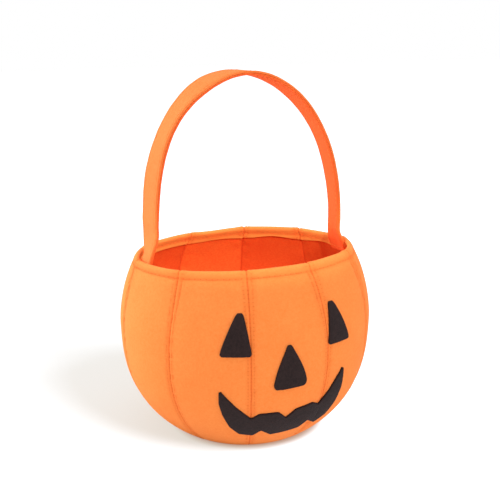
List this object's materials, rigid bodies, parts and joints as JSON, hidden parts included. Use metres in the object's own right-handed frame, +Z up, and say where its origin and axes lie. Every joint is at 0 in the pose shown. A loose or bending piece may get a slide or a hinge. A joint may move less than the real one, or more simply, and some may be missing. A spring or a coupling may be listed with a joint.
{
  "type": "pumpkin candy pail",
  "caption": "Soft round felt pail shaped and faced like a carved pumpkin, with an open mouth, a turned-in hem and one tall strap handle for carrying sweets.",
  "frame": {"origin": "centre of the base, on the surface that the pail stands on", "axes": "+Z up; the face looks along -Y; the strap handle runs from -X to +X"},
  "size_m": [0.1994, 0.2001, 0.287],
  "materials": {
    "orange_felt": "matt needled felt, orange",
    "strap_felt": "matt needled felt, orange",
    "lining_cloth": "matt cloth, deep red-orange",
    "base_board": "plain grey board, hidden",
    "black_felt": "matt needled felt, black"
  },
  "bodies": {
    "pail": {"gore_01": "orange_felt", "gore_02": "orange_felt", "gore_03": "orange_felt", "gore_04": "orange_felt", "gore_05": "orange_felt", "gore_06": "orange_felt", "gore_07": "orange_felt", "gore_08": "orange_felt", "gore_09": "orange_felt", "gore_10": "orange_felt", "lining_01": "lining_cloth", "lining_02": "lining_cloth", "lining_03": "lining_cloth", "lining_04": "lining_cloth", "lining_05": "lining_cloth", "lining_06": "lining_cloth", "lining_07": "lining_cloth", "lining_08": "lining_cloth", "lining_09": "lining_cloth", "lining_10": "lining_cloth", "base_panel": "orange_felt", "base_board": "base_board", "base_lining": "lining_cloth", "handle_end_left": "strap_felt", "handle_end_right": "strap_felt", "handle_bend_left": "strap_felt", "handle_bend_right": "strap_felt", "eye_left": "black_felt", "eye_right": "black_felt", "nose": "black_felt", "mouth": "black_felt"},
    "handle": {"handle_outer_ply": "strap_felt", "handle_inner_ply": "strap_felt"}
  },
  "joints": [
    {"name": "handle_swing", "type": "hinge", "parent": "pail", "child": "handle", "pos_m": [0, 0, 0.1655], "axis": [1, 0, 0], "range_deg": [-90, 90], "stiffness_Nm_per_rad": 0.03, "deforming": ["handle_bend_left", "handle_bend_right"]}
  ]
}
